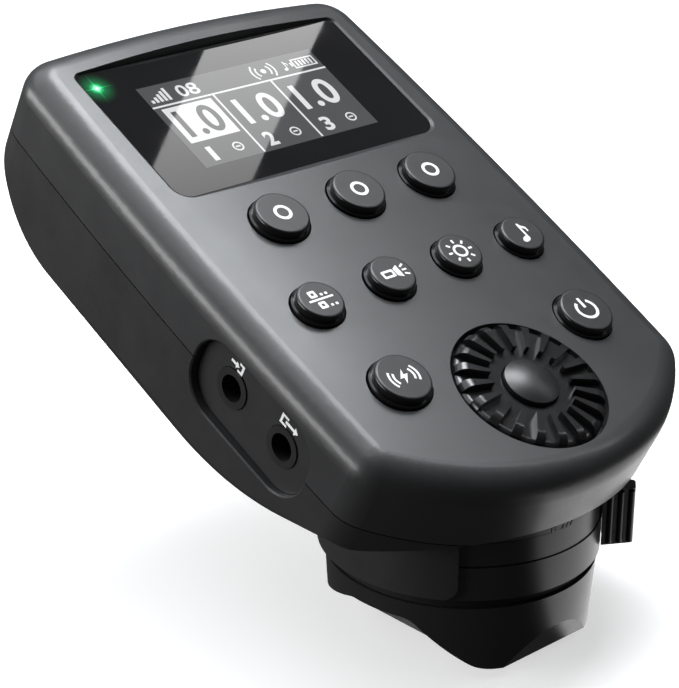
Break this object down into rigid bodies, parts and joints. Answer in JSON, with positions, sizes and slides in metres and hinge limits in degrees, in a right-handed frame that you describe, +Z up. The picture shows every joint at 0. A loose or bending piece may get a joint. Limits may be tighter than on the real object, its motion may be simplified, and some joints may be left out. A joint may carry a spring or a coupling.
{
  "type": "wireless flash trigger",
  "caption": "Tilted hand-sized radio flash trigger with a display, round keys and a thumb dial on a lockable round hot-shoe foot.",
  "frame": {"origin": "centre of the underside of the hot-shoe foot, on the foot column's axis", "axes": "+Z up along the foot column, +Y towards the lens, so the viewer is at -Y and the tilted panel faces them, +X to the viewer's right"},
  "size_m": [0.0596, 0.0842, 0.0703],
  "materials": {
    "case_grey": "satin",
    "case_black": "satin",
    "key_black": "satin",
    "dial_black": "satin",
    "window_glass": "polished",
    "display": "gloss",
    "white_plastic": "matte",
    "clear_plastic": "gloss",
    "board_green": "satin",
    "switch_black": "matte",
    "shield_metal": "brushed",
    "screw_steel": "black zinc",
    "jack_black": "satin",
    "usb_metal": "satin",
    "cell_wrap": "printed sleeve",
    "contact_nickel": "plated",
    "lock_black": "satin",
    "seal_rubber": "matte",
    "spring_steel": "drawn",
    "foot_metal": "satin",
    "contact_gold": "plated"
  },
  "bodies": {
    "case": {"upper_case": "case_grey", "lower_case": "case_black", "screen_window": "window_glass", "lcd_panel": "display", "lcd_backlight": "white_plastic", "lcd_frame": "switch_black", "light_pipe": "clear_plastic", "status_led": "clear_plastic", "main_board": "board_green", "tact_switches": "switch_black", "encoder_body": "switch_black", "radio_module": "shield_metal", "antenna": "contact_gold", "buzzer": "switch_black", "board_screws": "screw_steel", "jack_plate": "case_black", "in_jack": "jack_black", "out_jack": "jack_black", "usb_socket": "usb_metal", "battery_cradle": "switch_black", "battery_cell_1": "cell_wrap", "battery_cell_2": "cell_wrap", "contact_strip": "contact_nickel", "contact_plates": "contact_nickel", "hinge_pin": "spring_steel", "neck_base": "lock_black", "neck_cover": "case_black", "neck_screws": "screw_steel", "groove_ring": "seal_rubber", "pin_spring": "spring_steel", "foot_skirt": "lock_black", "foot_shoe": "foot_metal", "foot_screws": "screw_steel", "contact_carrier": "switch_black", "case_screws": "screw_steel"},
    "dial": {"dial_wheel": "dial_black", "encoder_rotor": "contact_nickel"},
    "set_key": {"set_button": "key_black"},
    "door": {"battery_door": "case_black"},
    "latch": {"door_latch": "lock_black"},
    "lock": {"lock_ring": "lock_black", "lock_lever": "lock_black"},
    "pin": {"locking_pin": "foot_metal"},
    "group_button_1_body": {"group_button_1": "key_black"},
    "group_button_2_body": {"group_button_2": "key_black"},
    "group_button_3_body": {"group_button_3": "key_black"},
    "mode_button_1_body": {"mode_button_1": "key_black"},
    "mode_button_2_body": {"mode_button_2": "key_black"},
    "mode_button_3_body": {"mode_button_3": "key_black"},
    "mode_button_4_body": {"mode_button_4": "key_black"},
    "test_button_body": {"test_button": "key_black"},
    "power_button_body": {"power_button": "key_black"},
    "contact_centre": {"contact_pin_centre": "contact_gold"},
    "contact_1": {"contact_pin_1": "contact_gold"},
    "contact_2": {"contact_pin_2": "contact_gold"},
    "contact_3": {"contact_pin_3": "contact_gold"},
    "contact_4": {"contact_pin_4": "contact_gold"}
  },
  "joints": [
    {"name": "group_button_1_press", "type": "slide", "parent": "case", "child": "group_button_1_body", "axis": [0, 0.454, -0.891], "range_m": [0, 0.0005], "stiffness_N_per_m": 800},
    {"name": "group_button_2_press", "type": "slide", "parent": "case", "child": "group_button_2_body", "axis": [0, 0.454, -0.891], "range_m": [0, 0.0005], "stiffness_N_per_m": 800},
    {"name": "group_button_3_press", "type": "slide", "parent": "case", "child": "group_button_3_body", "axis": [0, 0.454, -0.891], "range_m": [0, 0.0005], "stiffness_N_per_m": 800},
    {"name": "mode_button_1_press", "type": "slide", "parent": "case", "child": "mode_button_1_body", "axis": [0, 0.454, -0.891], "range_m": [0, 0.0005], "stiffness_N_per_m": 800},
    {"name": "mode_button_2_press", "type": "slide", "parent": "case", "child": "mode_button_2_body", "axis": [0, 0.454, -0.891], "range_m": [0, 0.0005], "stiffness_N_per_m": 800},
    {"name": "mode_button_3_press", "type": "slide", "parent": "case", "child": "mode_button_3_body", "axis": [0, 0.454, -0.891], "range_m": [0, 0.0005], "stiffness_N_per_m": 800},
    {"name": "mode_button_4_press", "type": "slide", "parent": "case", "child": "mode_button_4_body", "axis": [0, 0.454, -0.891], "range_m": [0, 0.0005], "stiffness_N_per_m": 800},
    {"name": "test_button_press", "type": "slide", "parent": "case", "child": "test_button_body", "axis": [0, 0.454, -0.891], "range_m": [0, 0.0005], "stiffness_N_per_m": 800},
    {"name": "power_button_press", "type": "slide", "parent": "case", "child": "power_button_body", "axis": [0, 0.454, -0.891], "range_m": [0, 0.0005], "stiffness_N_per_m": 800},
    {"name": "set_button_press", "type": "slide", "parent": "case", "child": "set_key", "axis": [0, 0.454, -0.891], "range_m": [0, 0.0004], "stiffness_N_per_m": 800},
    {"name": "dial_turn", "type": "hinge", "parent": "case", "child": "dial", "pos_m": [0, -0.0111, 0.03607], "axis": [0, -0.454, 0.891], "continuous": true},
    {"name": "battery_door_hinge", "type": "hinge", "parent": "case", "child": "door", "pos_m": [0, 0.05546, 0.04417], "axis": [1, 0, 0], "range_deg": [0, 90]},
    {"name": "door_latch_slide", "type": "slide", "parent": "door", "child": "latch", "axis": [0, 0.891, 0.454], "range_m": [0, 0.0021], "stiffness_N_per_m": 250},
    {"name": "lock_turn", "type": "hinge", "parent": "case", "child": "lock", "pos_m": [0, 0, 0.0172], "axis": [0, 0, 1], "range_deg": [-55, 0]},
    {"name": "locking_pin_slide", "type": "slide", "parent": "case", "child": "pin", "axis": [0, 0, 1], "range_m": [0, 0.0014], "deforming": ["pin_spring"]},
    {"name": "contact_centre_spring", "type": "slide", "parent": "case", "child": "contact_centre", "axis": [0, 0, 1], "range_m": [0, 0.0007], "stiffness_N_per_m": 300},
    {"name": "contact_1_spring", "type": "slide", "parent": "case", "child": "contact_1", "axis": [0, 0, 1], "range_m": [0, 0.0007], "stiffness_N_per_m": 300},
    {"name": "contact_2_spring", "type": "slide", "parent": "case", "child": "contact_2", "axis": [0, 0, 1], "range_m": [0, 0.0007], "stiffness_N_per_m": 300},
    {"name": "contact_3_spring", "type": "slide", "parent": "case", "child": "contact_3", "axis": [0, 0, 1], "range_m": [0, 0.0007], "stiffness_N_per_m": 300},
    {"name": "contact_4_spring", "type": "slide", "parent": "case", "child": "contact_4", "axis": [0, 0, 1], "range_m": [0, 0.0007], "stiffness_N_per_m": 300}
  ],
  "couplings": [
    {"joint": "lock_turn", "follows": "locking_pin_slide", "rad_per_m": -685.6}
  ]
}
